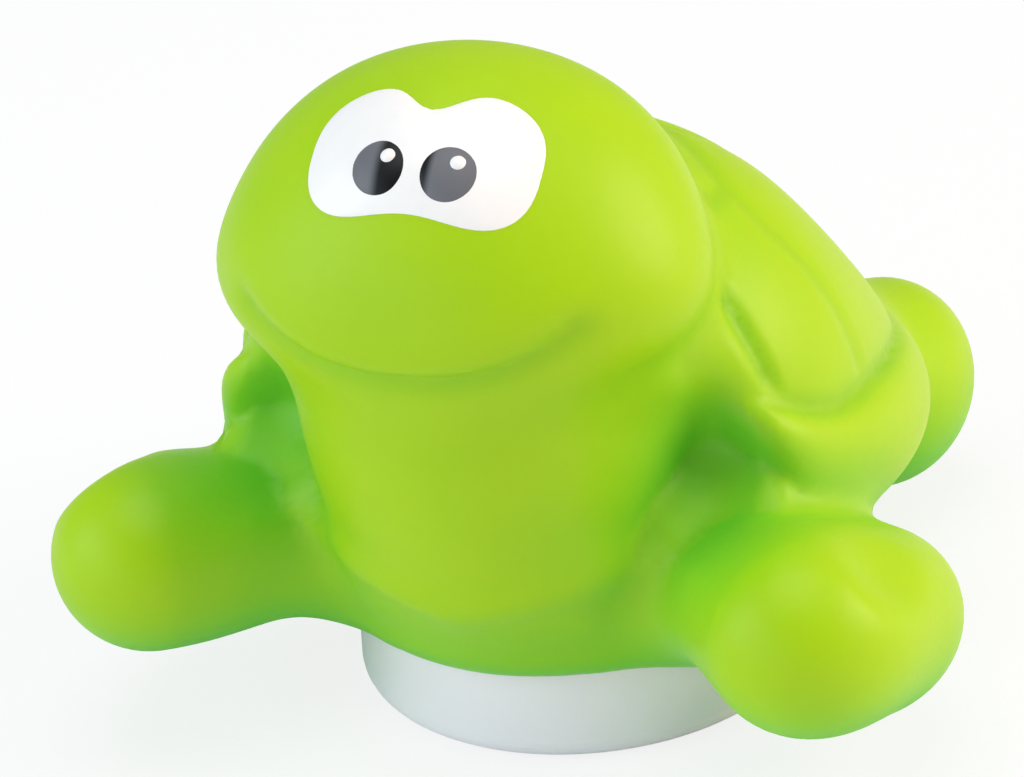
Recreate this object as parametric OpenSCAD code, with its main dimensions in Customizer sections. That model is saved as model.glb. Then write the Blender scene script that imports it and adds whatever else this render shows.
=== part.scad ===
// Squeaky bath toy: a hollow soft vinyl sea turtle held on a weighted hard base
// Millimetres, Z up, the turtle looks along -Y, its left side is +X
// The origin is the middle of the ring the base stands on

/* [Head] */
// Middle of the cranium
cranium_at = [0, -20, 67]; // [-90:1:120]
// Width, length and height of the cranium
cranium_size = [50, 41, 37]; // [10:1:110]
// Middle of the broad muzzle
muzzle_at = [0, -24, 61.5]; // [-90:1:120]
// Width, length and height of the muzzle
muzzle_size = [57, 37.5, 28.5]; // [10:1:110]
// Middle of the neck and chest
neck_at = [0, -19.5, 45]; // [-90:1:120]
// Width, length and height of the neck and chest
neck_size = [45, 41, 64]; // [10:1:110]
// Softness of the fold between muzzle and cranium
face_blend = 8; // [2:0.5:14]
// Softness of the fold between neck and trunk
collar_blend = 5; // [2:0.5:14]
// Softness of the fold between head and neck
neck_blend = 6; // [2:0.5:14]

/* [Trunk] */
// Middle of the belly
belly_at = [0, 6.5, 28]; // [-90:1:120]
// Width, length and height of the belly
belly_size = [80, 78, 30]; // [10:1:130]
// Outside diameter of the skirt round the base
skirt_d = 62.5; // [40:0.5:80]
// Underside of the skirt above the floor
skirt_z = 12; // [6:0.5:24]
// Height of the skirt
skirt_h = 12; // [6:0.5:24]
// Edge rounding of the skirt
skirt_round = 4; // [1:0.5:6]
// Softness of the folds in the trunk
trunk_blend = 8; // [2:0.5:14]

/* [Shell] */
// Middle of the domed shell
shell_at = [0, -2, 36.5]; // [-90:1:120]
// Width, length and height of the domed shell
shell_size = [76, 70.5, 66]; // [10:1:130]
// Slope of the shell down to the rear
shell_tilt = -37; // [-45:1:0]
// Middle of the low rear part of the shell
back_at = [0, 13, 36]; // [-90:1:120]
// Width, length and height of that rear part
back_size = [71, 66, 35]; // [10:1:130]
// Slope of that rear part
back_tilt = -24; // [-45:1:0]
// Softness of the fold between dome and rear part
back_blend = 6; // [2:0.5:14]
// Middle of the rolled shell rim
rim_at = [0, 2.5, 32.5]; // [-90:0.5:120]
// Width, length and height of the rolled rim
rim_size = [82.5, 91, 15]; // [10:0.5:130]
// Slope of the rim down to the rear
rim_tilt = -11; // [-45:1:0]
// Where the rim starts to curl up around the neck
curl_from = -6; // [-40:0.5:40]
// How far the rim has curled up at the front end of the shell
curl_rise = 9; // [0:0.5:20]
// Front end of the shell at the shoulders
shell_front = -26.5; // [-60:0.5:60]
// Rounding of that front end
front_blend = 6; // [2:0.5:14]
// Softness of the fold between shell and rim
rim_blend = 1.5; // [1:0.5:14]
// Middle of the hollow between neck, rim and front flipper
pocket_at = [26, -28, 36]; // [-90:0.5:120]
// Width, length and height of that hollow
pocket_size = [15, 22, 22]; // [4:0.5:60]
// Rounding of the hollow's edge
pocket_blend = 8; // [2:0.5:14]
// Softness of the fold between shell and belly
shell_blend = 4; // [2:0.5:14]

/* [Flippers] */
// Shoulder of a front flipper
shoulder_at = [24.5, -16, 25]; // [-90:1:120]
// Thickness at the shoulder
shoulder_d = 20; // [6:0.5:40]
// Bend of a front flipper
elbow_at = [40.5, -33, 25]; // [-90:1:120]
// Thickness at the bend
elbow_d = 19.5; // [6:0.5:40]
// Tip of a front flipper
tip_at = [43, -10.5, 14]; // [-90:1:120]
// Thickness at the tip
tip_d = 18.5; // [6:0.5:40]
// Middle of a rear flipper
rear_at = [24, 42.5, 17]; // [-90:1:120]
// Width, length and height of a rear flipper
rear_size = [24, 30, 26]; // [6:1:60]
// Fullness of the paddle between bend and tip
paddle_bulge = 1.5; // [0:0.1:4]
// Softness of the folds at the flippers
flipper_blend = 7; // [2:0.5:14]

/* [Skin] */
// Wall of the hollow vinyl skin
skin_wall = 2.2; // [1.5:0.1:4]
// Opening in the belly that passes over the base
belly_hole_d = 57.5; // [30:0.5:70]
// Grid the skin is meshed on
skin_cell = 4.2; // [3.5:0.1:8]

/* [Eyes] */
// Middle of the eye patch
eye_at = [1.8, -34.6, 79.6]; // [-60:0.5:120]
// Backward lean of the eye patch
eye_tilt = 46; // [0:1:70]
// Width and height of the two-lobed eye patch
eye_size = [26.8, 19]; // [8:0.5:60]
// Squareness of the eye patch, 2 is an oval
square_share = 2.6; // [2:0.1:5]
// Depth of the notch between the two eyes
notch_share = 0.33; // [0:0.01:0.6]
// Sharpness of that notch
notch_sharp_share = 8; // [2:1:40]
// Rise of the patch's lower edge between the eyes
rise_share = 0.32; // [0:0.01:0.5]
// Sharpness of that rise
rise_sharp_share = 2; // [1:1:40]
// Thickness of the eye paint film
film_t = 0.5; // [0.3:0.05:1]
// Lift of a film above the surface below it
film_lift = 0.2; // [0.1:0.05:0.6]
// Distance between the pupils
pupil_gap = 7.8; // [4:0.2:30]
// Drop of the pupils below the middle of the eye patch
pupil_drop = 1.5; // [-4:0.1:6]
// Diameter of a pupil
pupil_d = 6.9; // [2:0.1:14]
// Diameter of a glint
glint_d = 2.1; // [0.6:0.1:6]
// Glint offset from the pupil's middle, across and up
glint_off = [0.9, 1.1]; // [-3:0.1:3]

/* [Base] */
// Diameter of the base
base_d = 56; // [36:0.5:70]
// Height of the base's shoulder
base_h = 13; // [9:0.5:20]
// Draft of the base's side
base_draft = 0.6; // [0:0.1:2]
// Rounding of the rim the base stands on
base_round = 2.5; // [0.5:0.1:4]
// Inside diameter of the base
base_bore = 49; // [30:0.5:62]
// Height of the step that stops the ballast ring
step_z = 10.4; // [6:0.1:18]
// Inside diameter above that step
upper_bore = 40; // [24:0.5:50]
// Diameter at the bottom of the groove for the skin's cuff
groove_d = 44; // [28:0.5:60]
// Width of that groove
groove_h = 2.6; // [1.5:0.1:4]
// Diameter of the flange over the groove
flange_d = 48; // [30:0.5:60]
// Thickness of the flange and top wall
flange_t = 2.4; // [1.5:0.1:4]
// Thickness of the flexing cuff
cuff_t = 2.2; // [1:0.1:3]

/* [Bottom cover] */
// Underside of the cover above the floor
cover_z = 1.6; // [0.5:0.1:4]
// Thickness of the cover
cover_t = 2.4; // [1.6:0.1:4]
// Circle the screws stand on
screw_circle = 30; // [16:0.5:44]
// Diameter of a screw's shank
screw_d = 2.2; // [1.6:0.1:4]
// Diameter of a screw's head
head_d = 4.8; // [3:0.1:8]
// Height of a screw's head
head_h = 1.1; // [0.6:0.1:2]
// Length of a screw's shank
screw_l = 7; // [4:0.5:14]
// Width of the driver slot
slot_w = 0.7; // [0.4:0.1:1.2]
// Depth of the driver slot
slot_h = 0.5; // [0.2:0.1:1]
// Diameter of a screw boss
boss_d = 5.6; // [4:0.1:9]
// Diameter of a sound outlet
outlet_d = 2; // [1:0.1:4]
// Circle the sound outlets stand on
outlet_circle = 10; // [5:0.5:18]
// Height of the cover gasket
gasket_h = 0.9; // [0.5:0.1:1.6]
// Depth of the gasket's groove in the cover
gasket_w = 1; // [0.5:0.1:2]
// Inside diameter of the ballast ring
ballast_bore = 41; // [24:0.5:50]

/* [Squeaker] */
// Outside diameter of the squeaker's tube
tube_d = 13.6; // [8:0.1:24]
// Inside diameter of the squeaker's tube
tube_bore = 11.2; // [6:0.1:20]
// Lower end of the tube above the floor
tube_z = 6.2; // [4.5:0.1:16]
// Diameter of the squeaker's flange
collar_d = 17.2; // [10:0.1:30]
// Thickness of the squeaker's flange
collar_t = 1.5; // [0.8:0.1:3]
// Opening in the lip at the lower end of the tube
lip_bore = 9.8; // [5:0.1:18]
// Thickness of that lip
lip_t = 0.4; // [0.3:0.1:1]
// Length of the reed bed
bed_l = 11.6; // [7:0.1:20]
// Width of the air channel in the bed
channel_w = 3; // [1.5:0.1:6]
// Depth of the air channel in the bed
channel_t = 2.2; // [1:0.1:4]
// Closed end of the channel below the bed's top
channel_end = 2; // [1:0.1:4]
// Width of the reed
reed_w = 4.4; // [2:0.1:8]
// Length of the reed
reed_l = 10; // [6:0.1:18]
// Thickness of the reed
reed_t = 0.3; // [0.2:0.05:0.6]
// Lift of the reed above the bed
reed_lift = 0.2; // [0.1:0.05:0.5]
// Length of the wedge that holds the reed's root
wedge_l = 3.4; // [2:0.1:6]
// Room between reed and wedge
wedge_room = 0.35; // [0.2:0.05:0.8]
// Thickness of the squeaker's cap
cap_t = 1.2; // [0.8:0.1:3]
// Wall of the cap's spigot
spigot_t = 0.9; // [0.5:0.1:2]
// Height of the cap's spigot
spigot_h = 1; // [0.5:0.1:2]
// Diameter of an air hole in the cap
air_d = 1.8; // [1:0.1:3]
// Circle the air holes stand on
air_circle = 6; // [3:0.1:9]

/* [Fits] */
// Running and seating clearance
fit = 0.2; // [0.1:0.05:0.5]

/* [Hidden] */
$fn = 72;
tiny_share = 0.0001;
base_r = base_d / 2;
top_z = base_h + groove_h;
wall_top = top_z + flange_t;
cover_top = cover_z + cover_t;
collar_z = wall_top + fit;
bed_z = tube_z + lip_t + fit / 2;
bed_top = bed_z + bed_l;
reed_z = bed_z + fit;
reed_x = reed_lift;
wedge_x = reed_x + reed_t + wedge_room;
cap_z = collar_z + collar_t + fit;
screw_count = 3;
outlet_count = 6;
air_count = 5;
eye_up = [0, sin(eye_tilt), cos(eye_tilt)];
eye_in = [0, cos(eye_tilt), -sin(eye_tilt)];

// Soft forms: signed distance is below zero inside

function lean(q, a) = [q.x, q.y * cos(a) + q.z * sin(a), q.z * cos(a) - q.y * sin(a)];

function egg(q, size) =
    let (r = size / 2,
         u = [q.x / r.x, q.y / r.y, q.z / r.z],
         k0 = norm(u),
         k1 = norm([u.x / r.x, u.y / r.y, u.z / r.z]))
    k0 * (k0 - 1) / max(k1, tiny_share);

// Oval plate with a rolled edge, as thick as its size says
function plate(q, size) =
    let (r = size.z / 2,
         a = size.x / 2 - r,
         b = size.y / 2 - r,
         k0 = norm([q.x / a, q.y / b]),
         k1 = norm([q.x / (a * a), q.y / (b * b)]))
    norm([max(k0 * (k0 - 1) / max(k1, tiny_share), 0), q.z]) - r;

function limb(q, a, b, da, db, bulge) =
    let (d = b - a,
         t = max(0, min(1, (q - a) * d / (d * d))))
    norm(q - a - t * d) - (da + (db - da) * t) / 2 - 4 * bulge * t * (1 - t);

function soft(a, b, k) = min(a, b) - pow(max(k - abs(a - b), 0), 2) / (4 * k);

// What is left of a when b is cut from it
function cut(a, b, k) = -soft(-a, b, k);

function skirt(q) =
    let (r = norm([q.x, q.y]) - skirt_d / 2 + skirt_round,
         h = abs(q.z - skirt_z - skirt_h / 2) - skirt_h / 2 + skirt_round)
    norm([max(r, 0), max(h, 0)]) + min(max(r, h), 0) - skirt_round;

function head(q) = soft(egg(q - cranium_at, cranium_size), egg(q - muzzle_at, muzzle_size), face_blend);

function carapace(q) =
    let (dome = soft(egg(lean(q - shell_at, shell_tilt), shell_size),
                     egg(lean(q - back_at, back_tilt), back_size), back_blend),
         ahead = max(curl_from - q.y, 0) / (curl_from - shell_front),
         rim = plate(lean(q - rim_at, rim_tilt) - [0, 0, curl_rise * ahead * ahead], rim_size))
    cut(soft(dome, rim, rim_blend), q.y - shell_front, front_blend);

function trunk(q) =
    let (m = [abs(q.x), q.y, q.z],
         belly = soft(egg(q - belly_at, belly_size), skirt(q), trunk_blend))
    cut(soft(belly, carapace(q), shell_blend), egg(m - pocket_at, pocket_size), pocket_blend);

function flippers(q) =
    let (m = [abs(q.x), q.y, q.z],
         front = soft(limb(m, shoulder_at, elbow_at, shoulder_d, elbow_d, 0),
                      limb(m, elbow_at, tip_at, elbow_d, tip_d, paddle_bulge), flipper_blend))
    min(front, egg(m - rear_at, rear_size));

function bust(q) = soft(head(q), egg(q - neck_at, neck_size), neck_blend);

function turtle(q) = soft(soft(trunk(q), bust(q), collar_blend), flippers(q), flipper_blend);

// Running total of a list, one entry per item, counted before the item
function before(v) = [for (i = 0, s = 0; i < len(v); s = s + v[i], i = i + 1) s];

function sum(v) = [for (x = v) 1] * v;

// Corners of a cell that share an edge with each corner
near = [for (d = [0:7]) [d + 1 - 2 * (d % 2), d + 2 - 4 * (floor(d / 2) % 2), d < 4 ? d + 4 : d - 4]];

// Lowest corner that each corner of a cell can be reached from without crossing the surface
function reach(v, low, steps) = steps == 0 ? low
    : reach(v, [for (d = [0:7])
          min([for (e = concat([d], near[d])) if ((v[d] < 0) == (v[e] < 0)) low[e]])], steps - 1);

// Sheets of surface in a cell: reach of its corners, and one start corner inside the form per sheet
function sheets(v) =
    let (low = reach(v, [0, 1, 2, 3, 4, 5, 6, 7], 6))
    [low, [for (d = [0:7]) if (low[d] == d && v[d] < 0) d]];

// Which sheet of a cell the edge between corners a and b crosses
function sheet(cell, a, b, a_inside) = len(cell[1]) == 1 ? 0 : search(cell[0][a_inside ? a : b], cell[1])[0];

// Closed mesh of the turtle's form sunk by a depth, one point per sheet in each grid cell it passes through
module form(sink) {
    c = skin_cell;
    lo = [-ceil((max(rim_size.x / 2, tip_at.x + tip_d, elbow_at.x + elbow_d)) / c),
          floor((min(muzzle_at.y - muzzle_size.y, elbow_at.y - elbow_d)) / c),
          floor(min(tip_at.z - tip_d, skirt_z - c) / c)];
    hi = [-lo.x,
          ceil(max(rear_at.y + rear_size.y, shell_at.y + shell_size.y) / c),
          ceil((cranium_at.z + cranium_size.z) / c)];
    n = hi - lo;
    half = [for (k = [0:n.z]) [for (j = [0:n.y]) [for (i = [0:hi.x])
            turtle([i, j + lo.y, k + lo.z] * c) + sink]]];
    f = function (i, j, k) half[k][j][abs(i + lo.x)];
    around = function (i, j, k) [for (d = [0:7]) f(i + d % 2, j + floor(d / 2) % 2, k + floor(d / 4))];
    cells = [for (k = [0:n.z - 1]) [for (j = [0:n.y - 1]) [for (i = [0:n.x - 1])
        let (v = around(i, j, k))
        (min(v) < 0 && max(v) >= 0) ? sheets(v) : [0, []]]]];
    counts = [for (plane = cells) [for (row = plane) [for (cell = row) len(cell[1])]]];
    plane_first = before([for (plane = counts) sum([for (row = plane) sum(row)])]);
    row_first = [for (k = [0:n.z - 1]) before([for (row = counts[k]) sum(row)])];
    ids = [for (k = [0:n.z - 1]) [for (j = [0:n.y - 1])
        let (b = before(counts[k][j])) [for (x = b) x + row_first[k][j] + plane_first[k]]]];
    at = function (k, j, i, a, b, a_inside) ids[k][j][i] + sheet(cells[k][j][i], a, b, a_inside);
    edges = [[0, 1], [2, 3], [4, 5], [6, 7], [0, 2], [1, 3], [4, 6], [5, 7], [0, 4], [1, 5], [2, 6], [3, 7]];
    points = [for (k = [0:n.z - 1]) for (j = [0:n.y - 1]) for (i = [0:n.x - 1]) if (counts[k][j][i] > 0)
        let (v = around(i, j, k),
             o = [for (d = [0:7]) [d % 2, floor(d / 2) % 2, floor(d / 4)]])
        for (part = [0:counts[k][j][i] - 1])
        let (cuts = [for (e = edges)
                     if ((v[e[0]] < 0) != (v[e[1]] < 0) &&
                         sheet(cells[k][j][i], e[0], e[1], v[e[0]] < 0) == part)
                     o[e[0]] + (o[e[1]] - o[e[0]]) * v[e[0]] / (v[e[0]] - v[e[1]])])
        ([i, j, k] + lo + [for (x = cuts) 1] * cuts / len(cuts)) * c];
    quads = concat(
        [for (k = [1:n.z - 1]) for (j = [1:n.y - 1]) for (i = [0:n.x - 1])
            let (a = f(i, j, k) < 0, b = f(i + 1, j, k) < 0) if (a != b)
            [a, at(k - 1, j - 1, i, 6, 7, a), at(k - 1, j, i, 4, 5, a),
                at(k, j, i, 0, 1, a), at(k, j - 1, i, 2, 3, a)]],
        [for (k = [1:n.z - 1]) for (j = [0:n.y - 1]) for (i = [1:n.x - 1])
            let (a = f(i, j, k) < 0, b = f(i, j + 1, k) < 0) if (a != b)
            [a, at(k - 1, j, i - 1, 5, 7, a), at(k, j, i - 1, 1, 3, a),
                at(k, j, i, 0, 2, a), at(k - 1, j, i, 4, 6, a)]],
        [for (k = [0:n.z - 1]) for (j = [1:n.y - 1]) for (i = [1:n.x - 1])
            let (a = f(i, j, k) < 0, b = f(i, j, k + 1) < 0) if (a != b)
            [a, at(k, j - 1, i - 1, 3, 7, a), at(k, j - 1, i, 2, 6, a),
                at(k, j, i, 0, 4, a), at(k, j, i - 1, 1, 5, a)]]);
    faces = [for (q = quads)
        let (t = norm(points[q[1]] - points[q[3]]) < norm(points[q[2]] - points[q[4]])
                 ? [[q[1], q[2], q[3]], [q[1], q[3], q[4]]] : [[q[2], q[3], q[4]], [q[2], q[4], q[1]]])
        for (w = t) q[0] ? [w[2], w[1], w[0]] : w];
    polyhedron(points, faces, convexity = 8);
}

// Where a line square to the eye patch meets the face
function on_face(p) = march([p.x, 0, 0] + eye_at + eye_up * p.y - eye_in * cranium_size.y, 40);
function march(q, steps) =
    let (d = head(q))
    steps == 0 || d < tiny_share ? q : march(q + eye_in * d, steps - 1);

// Film on the face: rings of points inside an outline, lifted and closed round the edge
module film(middle, outline, lift, rings) {
    m = len(outline);
    flat = concat([middle], [for (r = [1:rings]) for (p = outline) middle + p * r / rings]);
    low = [for (p = flat) on_face(p) - eye_in * lift];
    high = [for (p = low) p - eye_in * film_t];
    n = len(flat);
    at = function (r, j) 1 + (r - 1) * m + j % m;
    fan = [for (j = [0:m - 1]) [0, at(1, j), at(1, j + 1)]];
    band = [for (r = [1:rings - 1]) for (j = [0:m - 1])
            each [[at(r, j), at(r + 1, j), at(r + 1, j + 1)], [at(r, j), at(r + 1, j + 1), at(r, j + 1)]]];
    front = concat(fan, band);
    back = [for (t = front) [t[2] + n, t[1] + n, t[0] + n]];
    edge = [for (j = [0:m - 1])
            each [[at(rings, j), at(rings, j) + n, at(rings, j + 1)],
                  [at(rings, j + 1), at(rings, j) + n, at(rings, j + 1) + n]]];
    polyhedron(concat(low, high), concat(front, back, edge), convexity = 6);
}

function round_outline(d, n) = [for (j = [0:n - 1]) [cos(360 * j / n), sin(360 * j / n)] * d / 2];

// Eye patch: two lobes side by side, notched on top, near level underneath
function squared(v) = sign(v) * pow(abs(v), 2 / square_share);
function eye_outline(n) = [for (j = [0:n - 1])
    let (a = 360 * j / n,
         x = squared(cos(a)),
         y = squared(sin(a)),
         dip = y > 0 ? notch_share * exp(-x * x * notch_sharp_share)
                     : rise_share * exp(-x * x * rise_sharp_share))
    [x * eye_size.x / 2, y * (1 - dip) * eye_size.y / 2]];

// Pieces of the turtle

module vinyl_skin() {
    color("yellowgreen")
    difference() {
        form(0);
        form(skin_wall);
        cylinder(d = belly_hole_d, h = skirt_z + skirt_h);
    }
}

module belly_cuff() {
    color("olivedrab")
    translate([0, 0, base_h + fit])
    difference() {
        cylinder(d = belly_hole_d - 2 * fit, h = cuff_t);
        translate([0, 0, -fit]) cylinder(d = groove_d + 2 * fit, h = cuff_t + 2 * fit);
    }
}

module eye_whites() {
    color("white") film([0, 0], eye_outline(64), film_lift, 8);
}

module pupils() {
    color("dimgray")
    for (s = [-1, 1])
        film([s * pupil_gap / 2, -pupil_drop], round_outline(pupil_d, 28), 2 * film_lift + film_t, 3);
}

module pupil_glints() {
    color("white")
    for (s = [-1, 1])
        film([s * pupil_gap / 2, -pupil_drop] + glint_off, round_outline(glint_d, 18),
             3 * film_lift + 2 * film_t, 2);
}

// Pieces of the base

module base_profile() {
    r = base_r;
    t = base_r - base_draft;
    foot = concat([[base_bore / 2, 0], [r - base_round, 0]],
        [for (a = [-75:15:0]) [r - base_round + base_round * cos(a), base_round + base_round * sin(a)]]);
    polygon(concat(foot, [[t, base_h], [groove_d / 2, base_h], [groove_d / 2, top_z], [flange_d / 2, top_z],
        [flange_d / 2, wall_top], [tube_d / 2 + fit, wall_top], [tube_d / 2 + fit, top_z],
        [upper_bore / 2, top_z], [upper_bore / 2, step_z], [base_bore / 2, step_z]]));
}

module base_cup() {
    color("whitesmoke")
    difference() {
        union() {
            rotate_extrude() base_profile();
            for (i = [0:screw_count - 1]) rotate([0, 0, 360 * i / screw_count])
                translate([0, screw_circle / 2, cover_top + fit])
                    cylinder(d = boss_d, h = top_z - cover_top - fit + flange_t / 2);
        }
        for (i = [0:screw_count - 1]) rotate([0, 0, 360 * i / screw_count])
            translate([0, screw_circle / 2, cover_top])
                cylinder(d = screw_d + fit, h = screw_l - cover_t + head_h + 2 * fit);
    }
}

module bottom_cover() {
    groove_z = cover_z + (cover_t - gasket_h) / 2 - fit / 2;
    d = base_bore - 2 * fit;
    color("gainsboro")
    difference() {
        translate([0, 0, cover_z]) cylinder(d = d, h = cover_t);
        translate([0, 0, groove_z]) rotate_extrude()
            translate([d / 2 - gasket_w, 0]) square([gasket_w + fit, gasket_h + fit]);
        for (i = [0:screw_count - 1])
            rotate([0, 0, 360 * i / screw_count]) translate([0, screw_circle / 2, 0]) {
            cylinder(d = screw_d + 2 * fit, h = cover_top + fit);
            cylinder(d = head_d + 2 * fit, h = cover_z + head_h + fit);
        }
        cylinder(d = outlet_d, h = cover_top + fit);
        for (i = [0:outlet_count - 1]) rotate([0, 0, 360 * i / outlet_count])
            translate([outlet_circle / 2, 0, 0]) cylinder(d = outlet_d, h = cover_top + fit);
    }
}

module cover_screws() {
    color("silver")
    for (i = [0:screw_count - 1]) rotate([0, 0, 360 * i / screw_count])
        translate([0, screw_circle / 2, cover_z + fit / 2])
        difference() {
            union() {
                cylinder(d = head_d, h = head_h);
                cylinder(d = screw_d, h = head_h + screw_l);
            }
            for (a = [0, 90]) rotate([0, 0, a])
                translate([-head_d / 3, -slot_w / 2, -slot_h]) cube([2 * head_d / 3, slot_w, 2 * slot_h]);
        }
}

module cover_gasket() {
    color("dimgray")
    translate([0, 0, cover_z + (cover_t - gasket_h) / 2]) rotate_extrude()
        translate([base_bore / 2 - fit - gasket_w + fit / 2, 0]) square([gasket_w, gasket_h]);
}

module ballast_ring() {
    color("slategray")
    translate([0, 0, cover_top + fit]) rotate_extrude()
        translate([ballast_bore / 2, 0])
            square([base_bore / 2 - fit - ballast_bore / 2, step_z - cover_top - 2 * fit]);
}

// Pieces of the squeaker

module squeaker_housing() {
    color("ivory")
    rotate_extrude()
        polygon([[lip_bore / 2, tube_z], [tube_d / 2, tube_z],
                 [tube_d / 2, collar_z], [collar_d / 2, collar_z],
            [collar_d / 2, collar_z + collar_t], [tube_bore / 2, collar_z + collar_t],
            [tube_bore / 2, tube_z + lip_t], [lip_bore / 2, tube_z + lip_t]]);
}

module half_round(z, h) {
    translate([0, 0, z])
        intersection() {
            cylinder(d = tube_bore - fit, h = h);
            translate([0, -tube_bore / 2, 0]) cube([tube_bore / 2, tube_bore, h]);
        }
}

module reed_bed() {
    color("lightgray")
    difference() {
        mirror([1, 0, 0]) half_round(bed_z, bed_l);
        translate([-channel_t, -channel_w / 2, bed_z - fit])
            cube([channel_t + fit, channel_w, bed_l - channel_end + fit]);
    }
}

module reed_wedge() {
    color("lightgray")
    intersection() {
        half_round(bed_z, wedge_l);
        translate([wedge_x, -tube_bore / 2, bed_z - fit]) cube([tube_bore, tube_bore, wedge_l + 2 * fit]);
    }
}

module reed() {
    color("goldenrod")
    translate([reed_x, -reed_w / 2, reed_z]) cube([reed_t, reed_w, reed_l]);
}

module squeaker_cap() {
    color("ivory")
    difference() {
        union() {
            translate([0, 0, cap_z]) cylinder(d = collar_d, h = cap_t);
            translate([0, 0, cap_z - spigot_h]) cylinder(d = tube_bore - fit, h = spigot_h + cap_t / 2);
        }
        translate([0, 0, cap_z - spigot_h - fit])
            cylinder(d = tube_bore - fit - 2 * spigot_t, h = spigot_h + fit);
        for (i = [0:air_count - 1]) rotate([0, 0, 360 * i / air_count])
            translate([air_circle / 2, 0, cap_z - fit]) cylinder(d = air_d, h = cap_t + 2 * fit);
    }
}

vinyl_skin();
belly_cuff();
eye_whites();
pupils();
pupil_glints();
base_cup();
bottom_cover();
cover_screws();
cover_gasket();
ballast_ring();
squeaker_housing();
reed_bed();
reed_wedge();
reed();
squeaker_cap();
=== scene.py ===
import bpy
import math
import numpy as np
from mathutils import Matrix, Vector


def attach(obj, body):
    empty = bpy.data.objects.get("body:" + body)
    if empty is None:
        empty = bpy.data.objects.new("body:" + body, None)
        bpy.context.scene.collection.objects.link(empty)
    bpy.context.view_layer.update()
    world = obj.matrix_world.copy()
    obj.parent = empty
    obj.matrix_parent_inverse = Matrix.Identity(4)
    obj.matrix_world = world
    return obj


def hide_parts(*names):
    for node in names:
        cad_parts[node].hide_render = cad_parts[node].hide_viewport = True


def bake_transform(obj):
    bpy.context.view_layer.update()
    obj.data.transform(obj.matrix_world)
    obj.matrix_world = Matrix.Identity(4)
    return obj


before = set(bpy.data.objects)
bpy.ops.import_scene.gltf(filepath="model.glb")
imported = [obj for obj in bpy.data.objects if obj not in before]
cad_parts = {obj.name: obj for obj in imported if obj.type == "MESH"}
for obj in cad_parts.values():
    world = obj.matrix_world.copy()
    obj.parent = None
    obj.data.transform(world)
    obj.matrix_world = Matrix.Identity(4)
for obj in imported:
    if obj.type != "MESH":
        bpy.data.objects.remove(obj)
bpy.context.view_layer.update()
mm = 0.001
print("frame loaded,", len(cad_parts), "nodes")


# Small helpers

def fromHex(code):
    parts = [int(code[i:i + 2], 16) / 255 for i in (1, 3, 5)]
    return [v / 12.92 if v <= 0.04045 else ((v + 0.055) / 1.055) ** 2.4 for v in parts] + [1]


def pickOnly(piece):
    bpy.ops.object.select_all(action="DESELECT")
    piece.select_set(True)
    bpy.context.view_layer.objects.active = piece


def applyModifier(piece, kind, **settings):
    pickOnly(piece)
    modifier = piece.modifiers.new(kind.lower(), kind)
    for key, value in settings.items():
        setattr(modifier, key, value)
    bpy.ops.object.modifier_apply(modifier=modifier.name)


def readPoints(piece):
    flat = np.empty(len(piece.data.vertices) * 3, dtype=np.float32)
    piece.data.vertices.foreach_get("co", flat)
    return flat.reshape(-1, 3).astype(float) / mm


def writePoints(piece, points):
    piece.data.vertices.foreach_set("co", (points * mm).astype(np.float32).ravel())
    piece.data.update()


def writeMask(piece, name, values):
    layer = piece.data.attributes.new(name, "FLOAT", "POINT")
    layer.data.foreach_set("value", values.astype(np.float32))


def distanceToPath(flatPoints, path):
    best = np.full(len(flatPoints), 1e9)
    for a, b in zip(path[:-1], path[1:]):
        a = np.array(a, float)
        run = np.array(b, float) - a
        share = np.clip((flatPoints - a) @ run / (run @ run), 0, 1)
        best = np.minimum(best, np.linalg.norm(flatPoints - a - share[:, None] * run, axis=1))
    return best


# Turtle skin: the frame's skin merged, meshed finer, laid on soft forms, then grooved along listed lines.
# All lengths in mm. The forms follow the part's own, with fuller flippers and a deeper pocket
formSet = {
    "craniumAt": (0, -20, 67), "craniumSize": (50, 41, 37),
    "muzzleAt": (0, -24, 61.5), "muzzleSize": (57, 37.5, 28.5), "faceBlend": 8,
    "neckAt": (0, -19.5, 45), "neckSize": (45, 41, 64), "neckBlend": 6, "collarBlend": 5,
    "bellyAt": (0, 6.5, 28), "bellySize": (80, 78, 30), "trunkBlend": 8,
    "skirtAcross": 62.5, "skirtLow": 12, "skirtTall": 12, "skirtRound": 4,
    "shellAt": (0, -2, 36.5), "shellSize": (76, 70.5, 66), "shellTilt": -37,
    "backAt": (0, 13, 36), "backSize": (71, 66, 35), "backTilt": -24, "backBlend": 6,
    "rimAt": (0, 2.5, 32.5), "rimSize": (82.5, 91, 15), "rimTilt": -11,
    "curlFrom": -6, "curlRise": 9,
    "rimBlend": 1,               # crisper than the part's 1.5, so that the fold shows
    "shellFront": -26.5, "frontBlend": 9, "shellBlend": 4,
    "pocketAt": (26, -28.5, 34.5), "pocketSize": (17, 24, 26), "pocketBlend": 8,
    "shoulderAt": (24.5, -15.5, 21.5), "shoulder": 18.5,
    "elbowAt": (40.3, -33, 25), "elbow": 21.2,
    "paddleAt": (42.6, -20.5, 20), "paddleSize": (21.8, 39, 22), "paddleTilt": -22,
    "scoopAt": (54, -27, 37.5), "scoopSize": (16, 16, 16), "scoopBlend": 5,
    "rearAt": (24, 42.5, 17), "rearSize": (24, 30, 26), "flipperBlend": 7,
    "slopeStep": 0.2,            # half the span over which the form's slope is taken
}
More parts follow.
